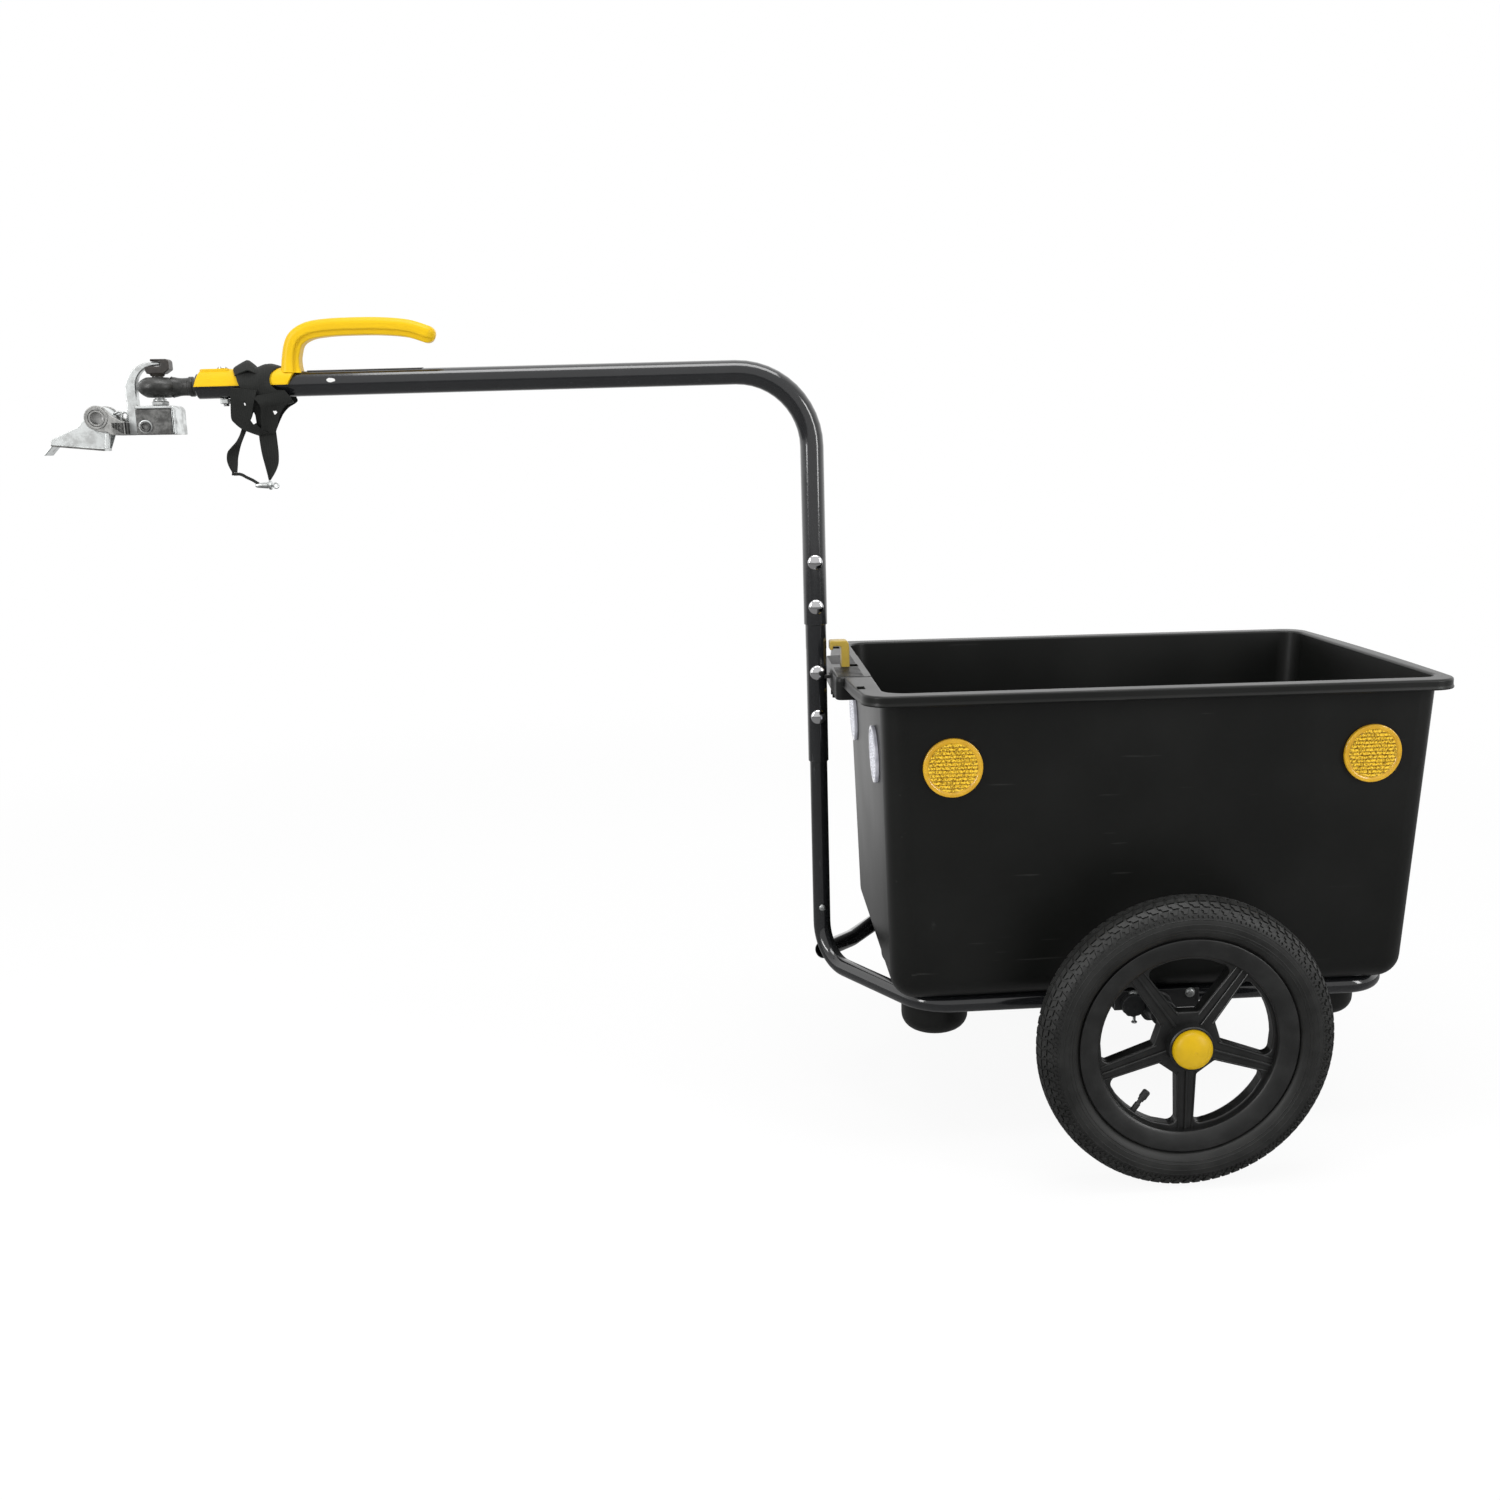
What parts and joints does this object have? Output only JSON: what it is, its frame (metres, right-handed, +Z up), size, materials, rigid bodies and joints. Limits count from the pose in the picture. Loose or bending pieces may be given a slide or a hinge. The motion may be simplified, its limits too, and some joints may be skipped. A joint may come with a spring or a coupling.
{
  "type": "cargo bike trailer",
  "caption": "Two-wheeled cargo bike trailer: open plastic bin on a bent tube frame, raised drawbar with a carrying handle and a seat-post coupling.",
  "frame": {"origin": "the middle of the trailer's outline, on the ground its wheels stand on", "axes": "+X to the rear, the drawbar points to -X; -Y is the trailer's left; +Z up"},
  "size_m": [1.418, 0.6112, 0.8681],
  "materials": {
    "black_tube": "gloss",
    "black_bracket": "satin",
    "bin_plastic": "satin",
    "rim_plastic": "satin",
    "tyre_rubber": "matte",
    "inner_rubber": "matte",
    "eye_rubber": "satin",
    "yellow_grip": "satin",
    "yellow_button": "satin",
    "yellow_latch": "satin",
    "webbing": "matte",
    "zinc": "satin",
    "cast": "satin",
    "chrome": "polished",
    "nylon": "satin",
    "cap_plastic": "satin",
    "amber_lens": "gloss",
    "clear_lens": "gloss",
    "red_lens": "gloss"
  },
  "bodies": {
    "trailer": {"axle_bracket_left": "black_bracket", "axle_bracket_right": "black_bracket", "axle_cross_tube": "black_tube", "bin": "bin_plastic", "drawbar_tube": "black_tube", "frame_tube_left": "black_tube", "frame_tube_right": "black_tube", "handle": "yellow_grip", "handle_bolt": "chrome", "handle_nut": "zinc", "hitch_eye": "eye_rubber", "latch_pin": "zinc", "reflector_front_left": "clear_lens", "reflector_front_right": "clear_lens", "reflector_left_front": "amber_lens", "reflector_left_rear": "amber_lens", "reflector_rear_left": "red_lens", "reflector_rear_right": "red_lens", "reflector_right_front": "amber_lens", "reflector_right_rear": "amber_lens", "stem_bolt_1": "chrome", "stem_bolt_2": "chrome", "stem_bolt_3": "chrome", "stem_bolt_4": "chrome", "stem_catch": "black_bracket", "stem_connector": "black_tube", "stem_screw": "zinc", "strap_clip": "zinc", "strap_cord": "webbing", "strap_tail_front": "webbing", "strap_tail_rear": "webbing", "strap_wrap": "webbing", "stub_axle_left": "zinc", "stub_axle_right": "zinc"},
    "wheel_left": {"hub_bush_inner_left": "nylon", "hub_bush_outer_left": "nylon", "inner_tube_left": "inner_rubber", "tyre_left": "tyre_rubber", "wheel_rim_left": "rim_plastic"},
    "release_button_left": {"hub_button_left": "yellow_button"},
    "wheel_right": {"hub_bush_inner_right": "nylon", "hub_bush_outer_right": "nylon", "inner_tube_right": "inner_rubber", "tyre_right": "tyre_rubber", "wheel_rim_right": "rim_plastic"},
    "release_button_right": {"hub_button_right": "yellow_button"},
    "bin_latch": {"bin_latch": "yellow_latch"},
    "ball_seat": {"ball_seat": "nylon"},
    "hitch_ball": {"hitch_ball": "zinc"},
    "coupler": {"coupler_block": "cast", "coupler_bolt": "cast", "fork_lugs": "cast", "hook_cap": "cap_plastic", "kingpin": "zinc", "pivot_tube": "cast", "safety_hook": "zinc", "wire_bail": "zinc", "yoke_plate": "zinc"},
    "cam_lever": {"cam_lever": "zinc"}
  },
  "joints": [
    {"name": "wheel_spin_left", "type": "hinge", "parent": "trailer", "child": "wheel_left", "pos_m": [0.41197, -0.271, 0.149], "axis": [0, 1, 0], "continuous": true},
    {"name": "button_press_left", "type": "slide", "parent": "wheel_left", "child": "release_button_left", "axis": [0, 1, 0], "range_m": [0, 0.004], "stiffness_N_per_m": 1500, "springref_m": -0.003},
    {"name": "wheel_spin_right", "type": "hinge", "parent": "trailer", "child": "wheel_right", "pos_m": [0.41197, 0.271, 0.149], "axis": [0, 1, 0], "continuous": true},
    {"name": "button_press_right", "type": "slide", "parent": "wheel_right", "child": "release_button_right", "axis": [0, -1, 0], "range_m": [0, 0.004], "stiffness_N_per_m": 1500, "springref_m": -0.003},
    {"name": "latch_swing", "type": "hinge", "parent": "trailer", "child": "bin_latch", "pos_m": [0.09497, 0, 0.467], "axis": [0, 1, 0], "range_deg": [0, 18], "stiffness_Nm_per_rad": 0.4, "springref_deg": -22.92},
    {"name": "hitch_roll", "type": "hinge", "parent": "trailer", "child": "ball_seat", "pos_m": [-0.59297, 0, 0.79925], "axis": [1, 0, 0], "range_deg": [-14, 14]},
    {"name": "hitch_pitch", "type": "hinge", "parent": "ball_seat", "child": "hitch_ball", "pos_m": [-0.59297, 0, 0.79925], "axis": [0, 1, 0], "range_deg": [-14, 14]},
    {"name": "hitch_yaw", "type": "hinge", "parent": "hitch_ball", "child": "coupler", "pos_m": [-0.59297, 0, 0.79925], "axis": [0, 0, 1], "range_deg": [-90, 90]},
    {"name": "lever_lift", "type": "hinge", "parent": "coupler", "child": "cam_lever", "pos_m": [-0.65197, 0, 0.76925], "axis": [0, 1, 0], "range_deg": [0, 80]}
  ]
}
